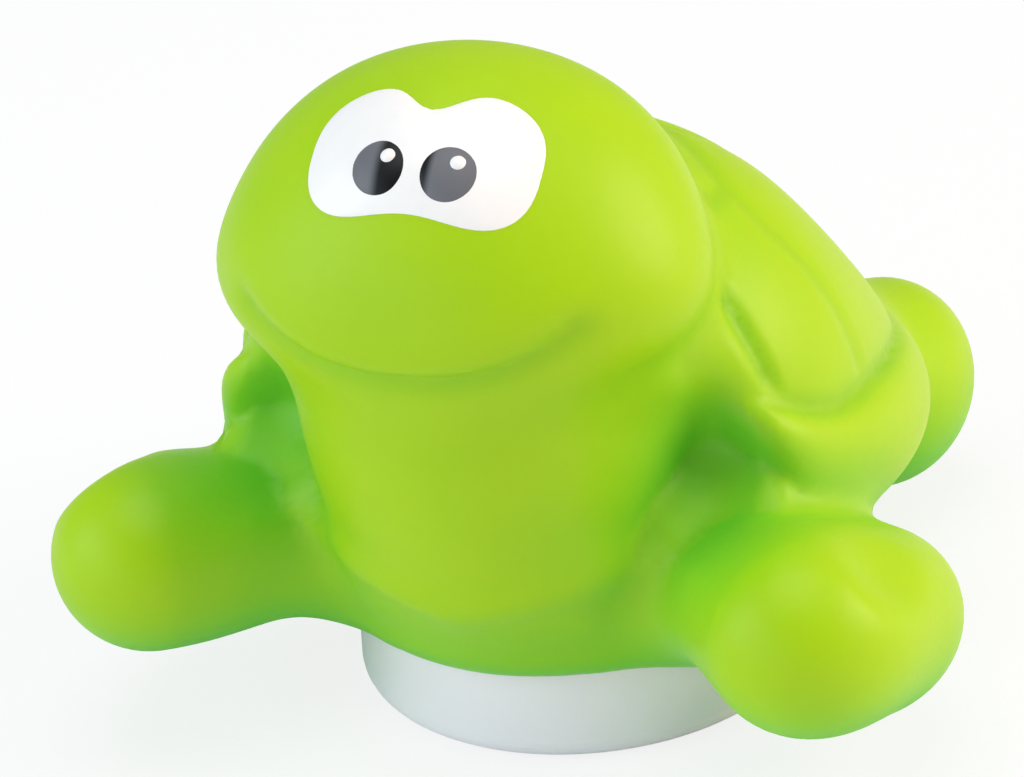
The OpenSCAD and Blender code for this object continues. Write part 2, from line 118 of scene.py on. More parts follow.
skinSet = {
    "mergeGap": 0.02,
    "grid": 0.95,                # edge length of the finer mesh
    "holeAcross": 57.5,
    "holeLow": 13.2,             # the hole's wall runs from here
    "holeTop": 19,               # to here
    "holeBand": 1.2,             # and this far to each side of the hole's radius
    "holeSide": 0.12,
    "midWall": 1.1,              # half the skin's wall
    "lowTop": 16,                # under this height, what lies outside the hole is outer wall
    "lowSide": 0.1,
    "leastSlope": 0.05,
    "outerTurns": 6,
    "outerMove": 0.6,            # longest move in one turn
    "innerTurns": 4,
    "innerMove": 0.8,
    "innerSide": 1.5,
    "innerLow": 20,
    "leastWall": 1.4,
    "edgeBand": 0.7,
    "edgeTop": 14.2,
    "edgeTurns": 6,
    "edgeMove": 0.4,
    "edgeFall": -0.2,
}
mouthSet = {
    "low": 57.0,                 # height of the crease in the middle
    "rise": 5.5,                 # how much the corners stand above it
    "half": 19.5,                # half the crease's width
    "curve": 2.6,
    "points": 41,
    "depth": 0.75,
    "width": 2.0,
    "lipBulge": 1.3,
    "lipFall": 6,
    "lipStart": 1.5,
    "lipFull": 1.6,              # the lip fades from full in the middle
    "lipNarrow": 1.3,            # by this share at the corners
    "behind": -22,               # nothing behind this is face
    "turned": 0.05,
    "turnFade": 0.25,
    # strength of the painted shade along the crease
    "tone": 0.4,
}
scuteSet = {
    "depth": 0.8,
    "width": 1.15,
    "rimGap": 0.5,
    "bustGap": 1.0,
    "fade": 1.5,
    # strength of the painted shade in the grooves
    "tone": 0.7,
}
foldSet = {
    "depth": 0.5,                # line between the dome and its rim
    "width": 1.0,
    "bustGap": 1.0,
    "bustFade": 2.0,
    "domeFade": 1.5,
    "upFade": 3.0,
    "from": -20,
    "fromFade": 6,
    # strength of the painted shade along the fold
    "tone": 0.6,
}
ridgeSet = {
    "height": 0.8,
    "width": 2.6,
    "behind": -20,
    "turned": 0.2,
    "turnFade": 0.3,
}
# Scute lines over the shell seen from above, mirrored: each one's share of the depth, then its points
scuteLines = [
    (0.5, [(16, -24), (23, -9), (23, -1), (12, 8), (20, 17), (20, 25), (11, 34), (13, 42)]),
    (0.5, [(-12, 8), (12, 8)]),
    (0.5, [(-11, 34), (11, 34)]),
    (0.5, [(23, -9), (27.5, -15.5)]),
    (1.0, [(27.5, -15.5), (30.8, -16.2), (34.5, -16.5)]),
    (0.4, [(23, -1), (28, -2), (32, -1), (40, 0)]),
    (0.5, [(20, 21), (38, 24)]),
]
# Upper edge of the belly plate seen from the front, across and up, mirrored
plateLine = [(0, 24), (12, 27), (19, 28.5), (26, 31)]


def joinSoft(a, b, k):
    return np.minimum(a, b) - np.maximum(k - np.abs(a - b), 0) ** 2 / (4 * k)


def cutSoft(a, b, k):
    return -joinSoft(-a, b, k)


def leanPoints(q, degrees):
    c = math.cos(math.radians(degrees))
    s = math.sin(math.radians(degrees))
    return np.stack([q[:, 0], q[:, 1] * c + q[:, 2] * s, q[:, 2] * c - q[:, 1] * s], axis=1)


def eggForm(q, size):
    r = np.array(size, float) / 2
    u = q / r
    k0 = np.linalg.norm(u, axis=1)
    k1 = np.linalg.norm(u / r, axis=1)
    return k0 * (k0 - 1) / np.maximum(k1, 1e-6)


def plateForm(q, size):
    r = size[2] / 2
    a = size[0] / 2 - r
    b = size[1] / 2 - r
    k0 = np.hypot(q[:, 0] / a, q[:, 1] / b)
    k1 = np.hypot(q[:, 0] / a ** 2, q[:, 1] / b ** 2)
    return np.hypot(np.maximum(k0 * (k0 - 1) / np.maximum(k1, 1e-6), 0), q[:, 2]) - r


def limbForm(q, a, b, da, db):
    a = np.array(a, float)
    d = np.array(b, float) - a
    t = np.clip((q - a) @ d / (d @ d), 0, 1)
    across = da + (db - da) * t
    return np.linalg.norm(q - a - t[:, None] * d, axis=1) - across / 2


def skirtForm(q):
    f = formSet
    r = np.hypot(q[:, 0], q[:, 1]) - f["skirtAcross"] / 2 + f["skirtRound"]
    h = np.abs(q[:, 2] - f["skirtLow"] - f["skirtTall"] / 2) - f["skirtTall"] / 2 + f["skirtRound"]
    corner = np.hypot(np.maximum(r, 0), np.maximum(h, 0))
    return corner + np.minimum(np.maximum(r, h), 0) - f["skirtRound"]


def domeForm(q):
    f = formSet
    front = eggForm(leanPoints(q - np.array(f["shellAt"]), f["shellTilt"]), f["shellSize"])
    rear = eggForm(leanPoints(q - np.array(f["backAt"]), f["backTilt"]), f["backSize"])
    return joinSoft(front, rear, f["backBlend"])


def rimForm(q):
    f = formSet
    ahead = np.maximum(f["curlFrom"] - q[:, 1], 0) / (f["curlFrom"] - f["shellFront"])
    flat = leanPoints(q - np.array(f["rimAt"]), f["rimTilt"])
    flat[:, 2] -= f["curlRise"] * ahead ** 2
    return plateForm(flat, f["rimSize"])


def bustForm(q):
    f = formSet
    head = joinSoft(eggForm(q - np.array(f["craniumAt"]), f["craniumSize"]),
                    eggForm(q - np.array(f["muzzleAt"]), f["muzzleSize"]), f["faceBlend"])
    return joinSoft(head, eggForm(q - np.array(f["neckAt"]), f["neckSize"]), f["neckBlend"])


def turtleForm(q):
    f = formSet
    mirrored = q.copy()
    mirrored[:, 0] = np.abs(mirrored[:, 0])
    rimmed = joinSoft(domeForm(q), rimForm(q), f["rimBlend"])
    shell = cutSoft(rimmed, q[:, 1] - f["shellFront"], f["frontBlend"])
    belly = joinSoft(eggForm(q - np.array(f["bellyAt"]), f["bellySize"]), skirtForm(q), f["trunkBlend"])
    trunk = cutSoft(joinSoft(belly, shell, f["shellBlend"]),
                    eggForm(mirrored - np.array(f["pocketAt"]), f["pocketSize"]), f["pocketBlend"])
    arm = limbForm(mirrored, f["shoulderAt"], f["elbowAt"], f["shoulder"], f["elbow"])
    paddle = eggForm(leanPoints(mirrored - np.array(f["paddleAt"]), f["paddleTilt"]), f["paddleSize"])
    rear = eggForm(mirrored - np.array(f["rearAt"]), f["rearSize"])
    front = cutSoft(joinSoft(arm, paddle, f["flipperBlend"]),
                    eggForm(mirrored - np.array(f["scoopAt"]), f["scoopSize"]), f["scoopBlend"])
    flippers = np.minimum(front, rear)
    return joinSoft(joinSoft(trunk, bustForm(q), f["collarBlend"]), flippers, f["flipperBlend"])


def formSlope(q):
    step = formSet["slopeStep"]
    slope = np.zeros_like(q)
    for axis in range(3):
        shift = np.zeros(3)
        shift[axis] = step
        slope[:, axis] = (turtleForm(q + shift) - turtleForm(q - shift)) / (2 * step)
    return slope


def besideHole(points):
    return np.hypot(points[:, 0], points[:, 1]) - skinSet["holeAcross"] / 2


# Walks over the mesh from the top of the head and stops at the wall of the belly hole
def findOuter(piece, points):
    edges = np.empty(len(piece.data.edges) * 2, dtype=np.int32)
    piece.data.edges.foreach_get("vertices", edges)
    first, second = edges.reshape(-1, 2).T
    height = points[:, 2]
    beside = besideHole(points)
    depth = -turtleForm(points)
    hole = (height > skinSet["holeLow"]) & (height < skinSet["holeTop"])
    hole = hole & (np.abs(beside) < skinSet["holeBand"])
    hole = hole & ((beside < skinSet["holeSide"]) | (depth > skinSet["midWall"]))
    reached = np.zeros(len(points), dtype=bool)
    reached[np.argmax(height)] = True
    count = 0
    while count != reached.sum():
        count = reached.sum()
        reached[second[reached[first]]] = True
        reached[first[reached[second]]] = True
        reached[hole] = False
    low = (beside > skinSet["lowSide"]) & (height < skinSet["lowTop"]) & (depth < skinSet["midWall"])
    return (reached | low).astype(float)


def meshSkin():
    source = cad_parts["vinyl_skin"]
    piece = bpy.data.objects.new("turtleSkin", source.data.copy())
    bpy.context.scene.collection.objects.link(piece)
    pickOnly(piece)
    bpy.ops.object.mode_set(mode="EDIT")
    bpy.ops.mesh.select_all(action="SELECT")
    bpy.ops.mesh.remove_doubles(threshold=skinSet["mergeGap"] * mm)
    bpy.ops.object.mode_set(mode="OBJECT")
    applyModifier(piece, "REMESH", mode="VOXEL", voxel_size=skinSet["grid"] * mm, use_smooth_shade=True)
    return piece


def slopeAndSize(points):
    slope = formSlope(points)
    return slope, np.maximum((slope ** 2).sum(axis=1), skinSet["leastSlope"])


# Outer wall onto the forms, the wall of the belly hole left as it is
def layOuter(points, outer):
    reach = skinSet["outerMove"]
    for turn in range(skinSet["outerTurns"]):
        slope, size = slopeAndSize(points)
        move = np.clip(turtleForm(points) / size, -reach, reach)
        points = points - slope * (move * outer)[:, None]
    return points


# Inner wall kept under the outer one where the forms are cut deeper than the part's own
def keepInner(points, outer):
    away = (besideHole(points) > skinSet["innerSide"]) | (points[:, 2] > skinSet["innerLow"])
    inner = (outer == 0) & away
    for turn in range(skinSet["innerTurns"]):
        slope, size = slopeAndSize(points[inner])
        shallow = np.clip(turtleForm(points[inner]) + skinSet["leastWall"], 0, skinSet["innerMove"])
        points[inner] -= slope * (shallow / size)[:, None]
    return points


# Lower edge of the hole drawn to one true ring
def trueEdge(points):
    reach = skinSet["edgeMove"]
    radius = skinSet["holeAcross"] / 2
    ring = np.hypot(points[:, 0], points[:, 1])
    onEdge = (np.abs(ring - radius) < skinSet["edgeBand"]) & (points[:, 2] < skinSet["edgeTop"])
    points[onEdge, :2] *= (radius / ring[onEdge])[:, None]
    for turn in range(skinSet["edgeTurns"]):
        fall = np.minimum(formSlope(points[onEdge])[:, 2], skinSet["edgeFall"])
        points[onEdge, 2] -= np.clip(turtleForm(points[onEdge]) / fall, -reach, reach)
    return points


# Each relief gives how far it pushes the skin out and how strong the painted shade is in its groove
def mouthRelief(points, normals):
    m = mouthSet
    along = np.linspace(-m["half"], m["half"], m["points"])
    height = m["low"] + m["rise"] * (np.abs(along) / m["half"]) ** m["curve"]
    away = distanceToPath(points[:, [0, 2]], list(zip(along, height)))
    front = np.clip((-normals[:, 1] - m["turned"]) / m["turnFade"], 0, 1) * (points[:, 1] < m["behind"])
    above = points[:, 2] - np.interp(points[:, 0], along, height)
    cut = np.exp(-(away / m["width"]) ** 2) * front
    lip = np.exp(-(above / m["lipFall"]) ** 2) * np.clip(above / m["lipStart"], 0, 1) * front
    lip = lip * np.clip(m["lipFull"] - m["lipNarrow"] * np.abs(points[:, 0]) / m["half"], 0, 1)
    return m["lipBulge"] * lip - m["depth"] * cut, m["tone"] * cut


# Scute grooves, only where the dome itself is the surface
def scuteRelief(points):
    c = scuteSet
    dome = domeForm(points)
    onDome = np.clip((rimForm(points) - dome - c["rimGap"]) / c["fade"], 0, 1)
    onDome = onDome * np.clip((bustForm(points) - c["bustGap"]) / c["fade"], 0, 1)
    onDome = onDome * np.clip(c["fade"] - np.abs(dome), 0, 1)
    groove = np.zeros(len(points))
    for share, line in scuteLines:
        for side in (1, -1):
            path = [(side * u, v) for u, v in line]
            near = distanceToPath(points[:, :2], path) / c["width"]
            groove = np.maximum(groove, share * np.exp(-near ** 2))
    groove = groove * onDome
    return -c["depth"] * groove, c["tone"] * groove


# Fold where the dome sits on its rim
def foldRelief(points, normals):
    c = foldSet
    dome = domeForm(points)
    apart = np.abs(rimForm(points) - dome) / c["width"]
    fold = np.exp(-apart ** 2) * np.clip(c["domeFade"] - np.abs(dome), 0, 1)
    fold = fold * np.clip((bustForm(points) - c["bustGap"]) / c["bustFade"], 0, 1)
    fold = fold * np.clip(normals[:, 2] * c["upFade"], 0, 1)
    fold = fold * np.clip((points[:, 1] - c["from"]) / c["fromFade"], 0, 1)
    return -c["depth"] * fold, c["tone"] * fold


# Raised edge of the belly plate across the chest
def ridgeRelief(points, normals):
    c = ridgeSet
    edge = [(-u, v) for u, v in plateLine[:0:-1]] + plateLine
    ridge = np.exp(-(distanceToPath(points[:, [0, 2]], edge) / c["width"]) ** 2)
    front = np.clip((-normals[:, 1] - c["turned"]) / c["turnFade"], 0, 1) * (points[:, 1] < c["behind"])
    return c["height"] * ridge * front


def makeSkin():
    piece = meshSkin()
    points = readPoints(piece)
    outer = findOuter(piece, points)
    points = trueEdge(keepInner(layOuter(points, outer), outer))
    normals = formSlope(points)
    normals = normals / np.maximum(np.linalg.norm(normals, axis=1), 1e-6)[:, None]
    mouth, mouthGrooveShade = mouthRelief(points, normals)
    scute, scuteGrooveShade = scuteRelief(points)
    fold, foldGrooveShade = foldRelief(points, normals)
    push = mouth + scute + fold + ridgeRelief(points, normals)
    # painted shade in the mouth crease, the scute grooves and the dome's fold, kept as the crease attribute
    crease = np.maximum(np.maximum(mouthGrooveShade, scuteGrooveShade), foldGrooveShade)
    writePoints(piece, points + normals * (push * outer)[:, None])
    writeMask(piece, "crease", crease * outer)
    return piece


# Belly cuff: a rolled ring of the same vinyl between the base's groove and the skin
cuffSet = {
    "inner": 22.3,
    "outer": 28.7,
    "low": 13.3,
    "wall": 1.8,
    "roll": 0.35,
    "cuts": 5,
    "steps": 96,
    "mergeGap": 0.01,
    "smoothAngle": 50,
}


def makeCuff():
    inner, outer = cuffSet["inner"], cuffSet["outer"]
    middle = (inner + outer) / 2
    bpy.ops.object.select_all(action="DESELECT")
    bpy.ops.mesh.primitive_plane_add(size=1)
    piece = bpy.context.active_object
    piece.name = "bellyCuff"
    bpy.ops.object.mode_set(mode="EDIT")
    bpy.ops.mesh.select_all(action="SELECT")
    bpy.ops.transform.rotate(value=math.pi / 2, orient_axis="X", center_override=(0, 0, 0))
    section = ((outer - inner) * mm, 1, cuffSet["wall"] * mm)
    bpy.ops.transform.resize(value=section, center_override=(0, 0, 0))
    bpy.ops.transform.translate(value=(middle * mm, 0, (cuffSet["low"] + cuffSet["wall"] / 2) * mm))
    bpy.ops.mesh.subdivide(number_cuts=cuffSet["cuts"])
    bpy.ops.object.mode_set(mode="OBJECT")
    points = readPoints(piece)
    points[:, 1] = 0
    wave = np.sin((points[:, 0] - inner) / (outer - inner) * math.pi * 2)
    points[:, 2] += cuffSet["roll"] * wave
    writePoints(piece, points)
    bpy.ops.object.mode_set(mode="EDIT")
    bpy.ops.mesh.select_all(action="SELECT")
    bpy.ops.mesh.spin(steps=cuffSet["steps"], angle=2 * math.pi, center=(0, 0, 0), axis=(0, 0, 1))
    bpy.ops.mesh.select_all(action="SELECT")
    bpy.ops.mesh.remove_doubles(threshold=cuffSet["mergeGap"] * mm)
    bpy.ops.mesh.select_all(action="DESELECT")
    bpy.ops.mesh.select_interior_faces()
    bpy.ops.mesh.delete(type="FACE")
    bpy.ops.mesh.select_all(action="SELECT")
    bpy.ops.mesh.normals_make_consistent(inside=False)
    bpy.ops.object.mode_set(mode="OBJECT")
    bpy.ops.object.shade_smooth_by_angle(angle=math.radians(cuffSet["smoothAngle"]))
    return piece


# Eyes: lens shaped paint films laid on the finished skin along the eye's own direction
eyeSet = {
    "at": (1.8, -34.6, 79.6),
    "tilt": 46,                  # degrees the patch leans back
    "size": (26.8, 19),
    "square": 2.6,               # 2 is an oval
    "notch": 0.36,               # dip between the two lobes at the top
    "notchSharp": 12,
    "rise": 0.32,                # rise between them at the bottom
    "riseSharp": 2,
    "proud": 0.5,                # mm the middle stands above the skin
    "sunk": 0.35,                # mm the underside lies below it
    "edgeShare": 0.3,            # share of that at which the edge lies
    "castFrom": 20,              # mm in front of the skin that each point is cast from
    "segments": 128,
    "rings": 40,
}
pupilSet = {
    "gap": 7.8,
    "drop": 1.5,
    "across": 6.9,
    "proud": 0.85,
    "sunk": -0.2,
    "segments": 48,
    "rings": 16,
}
glintSet = {
    "offset": (0.9, 1.1),
    "across": 2.1,
    "proud": 1.1,
    "sunk": -0.5,
    "segments": 32,
    "rings": 12,
}


def eyeAxes():
    lean = math.radians(eyeSet["tilt"])
    side = Vector((1, 0, 0))
    up = Vector((0, math.sin(lean), math.cos(lean)))
    out = Vector((0, -math.cos(lean), math.sin(lean)))
    return side, up, out


def eyeOutline(x, y):
    power = 2 / eyeSet["square"]
    u = math.copysign(abs(x) ** power, x)
    v = math.copysign(abs(y) ** power, y)
    dip = eyeSet["rise"] * math.exp(-u * u * eyeSet["riseSharp"])
    if v > 0:
        dip = eyeSet["notch"] * math.exp(-u * u * eyeSet["notchSharp"])
    return u * eyeSet["size"][0] / 2, v * (1 - dip) * eyeSet["size"][1] / 2


def layFilm(name, skin, middle, outline, settings):
    bpy.ops.object.select_all(action="DESELECT")
    bpy.ops.mesh.primitive_uv_sphere_add(segments=settings["segments"], ring_count=settings["rings"])
    piece = bpy.context.active_object
    piece.name = name
    side, up, out = eyeAxes()
    centre = Vector(eyeSet["at"]) + out * eyeSet["castFrom"]
    edge = eyeSet["edgeShare"]
    for vertex in piece.data.vertices:
        x, y, z = vertex.co
        reach = math.hypot(x, y)
        flat = outline(x / reach, y / reach) if reach else (0, 0)
        u = middle[0] + flat[0] * reach
        v = middle[1] + flat[1] * reach
        start = centre + side * u + up * v
        hit, spot, normal, face = skin.ray_cast(start * mm, -out)
        if z >= 0:
            lift = settings["proud"] * z - settings["sunk"] * (1 - z) * edge
        else:
            lift = settings["sunk"] * (z * (1 - edge) - edge)
        vertex.co = spot + normal * lift * mm
    pickOnly(piece)
    bpy.ops.object.mode_set(mode="EDIT")
    bpy.ops.mesh.select_all(action="SELECT")
    bpy.ops.mesh.normals_make_consistent(inside=False)
    bpy.ops.object.mode_set(mode="OBJECT")
    bpy.ops.object.shade_smooth()
    return piece


def joinPair(first, second, name):
    bpy.ops.object.select_all(action="DESELECT")
    second.select_set(True)
    first.select_set(True)
    bpy.context.view_layer.objects.active = first
    bpy.ops.object.join()
    first.name = name
    return first


def roundOutline(across):
    return lambda x, y: (x * across / 2, y * across / 2)


skin = makeSkin()
print("skin made,", len(skin.data.polygons), "faces")
cuff = makeCuff()
print("cuff made,", len(cuff.data.polygons), "faces")
bpy.context.view_layer.update()
eyeWhites = layFilm("eyeWhites", skin, (0, 0), eyeOutline, eyeSet)
pupilPair = []
glintPair = []
for sideSign in (-1, 1):
    spotU = sideSign * pupilSet["gap"] / 2
    spotV = -pupilSet["drop"]
    pupilPair.append(layFilm("pupil", skin, (spotU, spotV), roundOutline(pupilSet["across"]), pupilSet))
    glintSpot = (spotU + glintSet["offset"][0], spotV + glintSet["offset"][1])
    glintPair.append(layFilm("glint", skin, glintSpot, roundOutline(glintSet["across"]), glintSet))
pupils = joinPair(pupilPair[0], pupilPair[1], "pupilPair")
glints = joinPair(glintPair[0], glintPair[1], "glintPair")
print("eyes laid on the skin")


# Materials

def addNode(tree, kind, settings=None, links=None):
    node = tree.nodes.new(kind)
    for key, value in (settings or {}).items():
        if isinstance(key, int) or key in node.inputs:
            node.inputs[key].default_value = value
        else:
            setattr(node, key, value)
    for key, socket in (links or {}).items():
        tree.links.new(socket, node.inputs[key])
    return node


def startMaterial(name):
    material = bpy.data.materials.new(name)
    material.use_nodes = True
    tree = material.node_tree
    tree.nodes.clear()
    place = addNode(tree, "ShaderNodeTexCoord").outputs["Object"]
    return material, tree, place


def addNoise(tree, place, size, detail):
    settings = {"Scale": 1 / (size * mm), "Detail": detail}
    return addNode(tree, "ShaderNodeTexNoise", settings, {"Vector": place}).outputs["Fac"]


def addRange(tree, value, settings):
    return addNode(tree, "ShaderNodeMapRange", settings, {"Value": value}).outputs["Result"]


def addBump(tree, height, strength, depth):
    settings = {"Strength": strength, "Distance": depth * mm}
    return addNode(tree, "ShaderNodeBump", settings, {"Height": height}).outputs["Normal"]


# From the first tone, a colour code or a socket, to the second
def mixTones(tree, share, first, second):
    settings = {"data_type": "RGBA", 7: fromHex(second)}
    links = {0: share}
    if isinstance(first, str):
        settings[6] = fromHex(first)
    else:
        links[6] = first
    return addNode(tree, "ShaderNodeMix", settings, links).outputs[2]


def finishMaterial(tree, settings, tone, gloss, relief=None):
    links = {"Base Color": tone, "Roughness": gloss}
    if relief:
        links["Normal"] = relief
    shader = addNode(tree, "ShaderNodeBsdfPrincipled", settings, links)
    addNode(tree, "ShaderNodeOutputMaterial", None, {"Surface": shader.outputs["BSDF"]})


def wearDress(piece, material):
    piece.data.materials.clear()
    piece.data.materials.append(material)


# Soft PVC, rotation moulded: satin lime skin that light sinks into, faintly pitted and cloudy, with painted
# shade in its grooves and recesses
vinylSet = {
    "light": "#B0D606",
    "deep": "#A5D006",
    "creaseShadeTone": "#8EC408",
    "recessShadeTone": "#6CC82E",
    "recessShadeReach": 28,             # mm
    "recessShadeFull": 0.45,            # openness at which the painted recess shade is full
    "cloud": 14,                 # mm
    "peel": 1.1,                 # mm, coarser than the real 0.4 so that it shows
    "peelDepth": 0.06,           # mm
    "peelBump": 0.25,
    "rough": (0.38, 0.5),
    "sink": 0.2,
    "sinkDepth": 3.0,            # mm that light travels in the wall
    "sinkTone": (0.4, 1.0, 0.4),
    "specular": 0.28,
}


def makeVinyl():
    material, tree, place = startMaterial("softPvcWithPaintedShade")
    cloud = addNoise(tree, place, vinylSet["cloud"], 3.0)
    tone = mixTones(tree, cloud, vinylSet["light"], vinylSet["deep"])
    # painted shade: the crease attribute mixes in a darker green along the mouth crease, the scute grooves
    # and the dome's fold
    crease = addNode(tree, "ShaderNodeAttribute", {"attribute_name": "crease"}).outputs["Fac"]
    tone = mixTones(tree, crease, tone, vinylSet["creaseShadeTone"])
    # painted shade: where the AO node finds the skin closed in, in folds, recesses and under the head, the
    # colour is mixed towards a darker green
    reach = {"samples": 8, "Distance": vinylSet["recessShadeReach"] * mm}
    openness = addNode(tree, "ShaderNodeAmbientOcclusion", reach).outputs["AO"]
    paintedRecessShade = addRange(tree, openness, {"From Min": 1.0, "From Max": vinylSet["recessShadeFull"]})
    tone = mixTones(tree, paintedRecessShade, tone, vinylSet["recessShadeTone"])
    peel = addNoise(tree, place, vinylSet["peel"], 2.0)
    gloss = addRange(tree, peel, {"To Min": vinylSet["rough"][0], "To Max": vinylSet["rough"][1]})
    relief = addBump(tree, peel, vinylSet["peelBump"], vinylSet["peelDepth"])
    settings = {
        "Subsurface Weight": vinylSet["sink"],
        "Subsurface Radius": vinylSet["sinkTone"],
        "Subsurface Scale": vinylSet["sinkDepth"] * mm,
        "Specular IOR Level": vinylSet["specular"],
    }
    finishMaterial(tree, settings, tone, gloss, relief)
    return material


# White enamel, sprayed on vinyl: bright, a little glossier than the skin and faintly uneven
enamelSet = {
    "white": "#FFFAF5",
    "thin": "#F9F4EE",
    "spray": 2.2,                # mm
    "sprayDepth": 0.04,          # mm
    "sprayBump": 0.15,
    "rough": (0.26, 0.36),
    "ior": 1.5,
}


def makeWhiteEnamel():
    material, tree, place = startMaterial("whiteEnamelSprayed")
    spray = addNoise(tree, place, enamelSet["spray"], 3.0)
    tone = mixTones(tree, spray, enamelSet["white"], enamelSet["thin"])
    gloss = addRange(tree, spray, {"To Min": enamelSet["rough"][0], "To Max": enamelSet["rough"][1]})
    relief = addBump(tree, spray, enamelSet["sprayBump"], enamelSet["sprayDepth"])
    finishMaterial(tree, {"IOR": enamelSet["ior"]}, tone, gloss, relief)
    return material


# Ink, pad printed in two passes: mid grey discs with black laid over the sides that face each other
inkSet = {
    "grey": "#6E6E72",
    "black": "#050507",
    "from": -2.9,                # mm across the face, where the black begins
    "full": -1.5,
    "until": 3.3,
    "gone": 4.4,
    "speck": 0.7,                # mm
    "rough": (0.34, 0.46),
    "ior": 1.35,
}


def makePupilInk():
    material, tree, place = startMaterial("greyInkPadPrinted")
    across = addNode(tree, "ShaderNodeSeparateXYZ", None, {"Vector": place}).outputs["X"]
    rising = addRange(tree, across, {"interpolation_type": "SMOOTHSTEP",
                      "From Min": inkSet["from"] * mm, "From Max": inkSet["full"] * mm})
    falling = addRange(tree, across, {"interpolation_type": "SMOOTHSTEP",
                       "From Min": inkSet["gone"] * mm, "From Max": inkSet["until"] * mm})
    both = addNode(tree, "ShaderNodeMath", {"operation": "MULTIPLY"}, {0: rising, 1: falling})
    tone = mixTones(tree, both.outputs["Value"], inkSet["grey"], inkSet["black"])
    speck = addNoise(tree, place, inkSet["speck"], 2.0)
    gloss = addRange(tree, speck, {"To Min": inkSet["rough"][0], "To Max": inkSet["rough"][1]})
    finishMaterial(tree, {"IOR": inkSet["ior"]}, tone, gloss)
    return material


# One maker for the plain materials: tones that cloud, grain in mm, roughness, metal, relief in mm and IOR
plainSet = {
    # polypropylene, injection moulded: waxy white with a fine spark texture
    "polypropyleneMoulded": {"tones": ("#FFF7FA", "#FAF3F6"), "grain": 0.9, "rough": (0.36, 0.48),
                             "metal": 0.0, "relief": 0.03, "ior": 1.49},
    # mild steel, zinc plated: bluish grey crystals, half dull
    "steelZincPlated": {"tones": ("#B9BCC2", "#A4A8AF"), "grain": 1.4, "rough": (0.25, 0.42),
                        "metal": 1.0, "relief": 0.02, "ior": 1.5},
    # nitrile rubber, moulded: near black and dull
    "nitrileRubberMoulded": {"tones": ("#1D1D1F", "#262628"), "grain": 0.6, "rough": (0.6, 0.75),
                             "metal": 0.0, "relief": 0.04, "ior": 1.52},
    # polystyrene, injection moulded: ivory and slightly glossy
    "polystyreneMoulded": {"tones": ("#EEEBDE", "#E7E3D3"), "grain": 1.2, "rough": (0.3, 0.4),
                           "metal": 0.0, "relief": 0.02, "ior": 1.59},
    # brass strip, rolled: yellow metal with a fine satin grain
    "brassRolled": {"tones": ("#D9B15A", "#C79C46"), "grain": 0.5, "rough": (0.22, 0.36),
                    "metal": 1.0, "relief": 0.01, "ior": 1.5},
}


def makePlain(name):
    chosen = plainSet[name]
    material, tree, place = startMaterial(name)
    grain = addNoise(tree, place, chosen["grain"], 3.0)
    tone = mixTones(tree, grain, chosen["tones"][0], chosen["tones"][1])
    gloss = addRange(tree, grain, {"To Min": chosen["rough"][0], "To Max": chosen["rough"][1]})
    relief = addBump(tree, grain, 0.3, chosen["relief"])
    finishMaterial(tree, {"Metallic": chosen["metal"], "IOR": chosen["ior"]}, tone, gloss, relief)
    return material


vinyl = makeVinyl()
whiteEnamel = makeWhiteEnamel()
pupilInk = makePupilInk()
wearDress(skin, vinyl)
wearDress(cuff, vinyl)
wearDress(eyeWhites, whiteEnamel)
wearDress(glints, whiteEnamel)
wearDress(pupils, pupilInk)

# finish of each carried-over node
nodeDress = {
    "base_cup": "polypropyleneMoulded",
    "bottom_cover": "polypropyleneMoulded",
    "cover_screws": "steelZincPlated",
    "cover_gasket": "nitrileRubberMoulded",
    "ballast_ring": "steelZincPlated",
    "squeaker_housing": "polystyreneMoulded",
    "reed_bed": "polystyreneMoulded",
    "reed_wedge": "polystyreneMoulded",
    "squeaker_cap": "polystyreneMoulded",
    "reed": "brassRolled",
}
plainMaterials = {name: makePlain(name) for name in plainSet}
for nodeName, dressName in nodeDress.items():
    wearDress(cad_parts[nodeName], plainMaterials[dressName])
print("materials on")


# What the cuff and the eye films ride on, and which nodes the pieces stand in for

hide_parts("vinyl_skin")
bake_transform(skin)
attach(cuff, "base")
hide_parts("belly_cuff")
for film, nodeName, slotName in ((eyeWhites, "eye_whites", "white_paint"), (pupils, "pupils", "grey_paint"),
                                 (glints, "pupil_glints", "white_paint")):
    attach(film, "turtle")
    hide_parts(nodeName)
print("pieces tied to the frame")


# Floor, light and camera
stageSet = {
    "floorSize": 6.0,            # m
    "floorDrop": 0.05,           # mm under the base's standing ring
    "floorTone": "#F8F8F8",
    "floorGlow": 0.8,            # share of plain white the camera sees, so the shadow stays soft
    "skyTone": "#E6F3FF",
    "skyLevel": 0.36,
}
# each lamp: where it stands, what it points at, its side in metres, its watts and its tone
lampSet = {
    "keyRight": {"at": (1.0, 0.3, 0.55), "to": (0, 0, 0.05),
                 "side": 0.7, "watts": 11, "tone": "#FFE4D0"},
    "fillFront": {"at": (-1.0, -0.75, 0.55), "to": (0, 0, 0.05),
                  "side": 0.9, "watts": 7.2, "tone": "#E4F4FF"},
    "lowFront": {"at": (-0.35, -1.2, 0.2), "to": (0, 0, 0.02),
                 "side": 0.6, "watts": 1.8, "tone": "#E8F2FF"},
    "topSoft": {"at": (0.0, -0.1, 1.2), "to": (0, 0, 0.05),
                "side": 0.9, "watts": 6, "tone": "#FBFDFF"},
}
cameraSet = {
    "aim": (0, -14.2, 41.8),     # mm
    "distance": 449,             # mm
    "azimuth": 25.85,            # degrees to the toy's left of its nose
    "elevation": 26.2,
    "roll": -6.4,
    "lens": 137,                 # mm
    "sensor": 36,                # mm
}


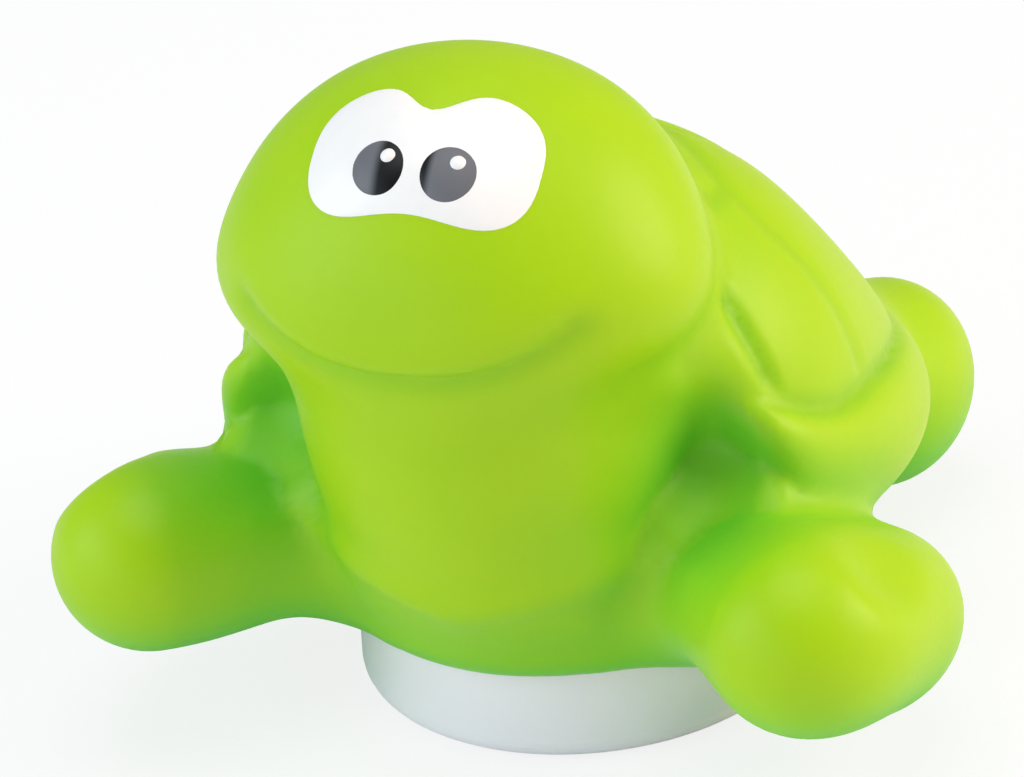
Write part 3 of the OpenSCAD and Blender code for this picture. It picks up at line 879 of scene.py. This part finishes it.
def makeStage():
    bpy.ops.object.select_all(action="DESELECT")
    bpy.ops.mesh.primitive_plane_add(size=stageSet["floorSize"])
    floor = bpy.context.active_object
    floor.name = "paleFloor"
    floor.location.z = -stageSet["floorDrop"] * mm
    material = bpy.data.materials.new("paleFloorPaint")
    material.use_nodes = True
    tree = material.node_tree
    tree.nodes.clear()
    matte = addNode(tree, "ShaderNodeBsdfDiffuse", {"Color": fromHex(stageSet["floorTone"])})
    glow = addNode(tree, "ShaderNodeEmission", {"Color": (1, 1, 1, 1), "Strength": 1.0})
    path = addNode(tree, "ShaderNodeLightPath")
    share = addNode(tree, "ShaderNodeMath", {"operation": "MULTIPLY", 1: stageSet["floorGlow"]},
                    {0: path.outputs["Is Camera Ray"]})
    shades = {0: share.outputs["Value"], 1: matte.outputs["BSDF"], 2: glow.outputs["Emission"]}
    mix = addNode(tree, "ShaderNodeMixShader", None, shades)
    addNode(tree, "ShaderNodeOutputMaterial", None, {"Surface": mix.outputs["Shader"]})
    wearDress(floor, material)

    world = bpy.data.worlds.new("studioSky")
    bpy.context.scene.world = world
    world.use_nodes = True
    tree = world.node_tree
    tree.nodes.clear()
    path = addNode(tree, "ShaderNodeLightPath")
    seen = addNode(tree, "ShaderNodeMath", {"operation": "MAXIMUM"},
                   {0: path.outputs["Is Camera Ray"], 1: path.outputs["Is Transmission Ray"]})
    pale = {"Color": fromHex(stageSet["skyTone"]), "Strength": stageSet["skyLevel"]}
    sky = addNode(tree, "ShaderNodeBackground", pale)
    plain = addNode(tree, "ShaderNodeBackground", {"Color": (1, 1, 1, 1), "Strength": 1.0})
    shades = {0: seen.outputs["Value"], 1: sky.outputs["Background"], 2: plain.outputs["Background"]}
    mix = addNode(tree, "ShaderNodeMixShader", None, shades)
    addNode(tree, "ShaderNodeOutputWorld", None, {"Surface": mix.outputs["Shader"]})


def makeLamps():
    for name, chosen in lampSet.items():
        lamp = bpy.data.lights.new(name, "AREA")
        lamp.shape = "SQUARE"
        lamp.size = chosen["side"]
        lamp.energy = chosen["watts"]
        lamp.color = fromHex(chosen["tone"])[:3]
        stand = bpy.data.objects.new(name, lamp)
        bpy.context.scene.collection.objects.link(stand)
        stand.location = chosen["at"]
        aim = Vector(chosen["to"]) - Vector(chosen["at"])
        stand.rotation_euler = aim.to_track_quat("-Z", "Y").to_euler()


def makeCamera():
    camera = bpy.data.cameras.new("photoCamera")
    camera.lens = cameraSet["lens"]
    camera.sensor_fit = "HORIZONTAL"
    camera.sensor_width = cameraSet["sensor"]
    stand = bpy.data.objects.new("photoCamera", camera)
    bpy.context.scene.collection.objects.link(stand)
    turn = math.radians(cameraSet["azimuth"])
    lift = math.radians(cameraSet["elevation"])
    back = Vector((math.sin(turn) * math.cos(lift), -math.cos(turn) * math.cos(lift), math.sin(lift)))
    look = (-back).to_track_quat("-Z", "Y").to_matrix()
    roll = Matrix.Rotation(math.radians(cameraSet["roll"]), 3, "Z")
    stand.rotation_euler = (look @ roll).to_euler()
    stand.location = (Vector(cameraSet["aim"]) + back * cameraSet["distance"]) * mm
    bpy.context.scene.camera = stand


makeStage()
makeLamps()
makeCamera()
bpy.context.scene.view_settings.view_transform = "Standard"
print("stage, lamps and camera set")
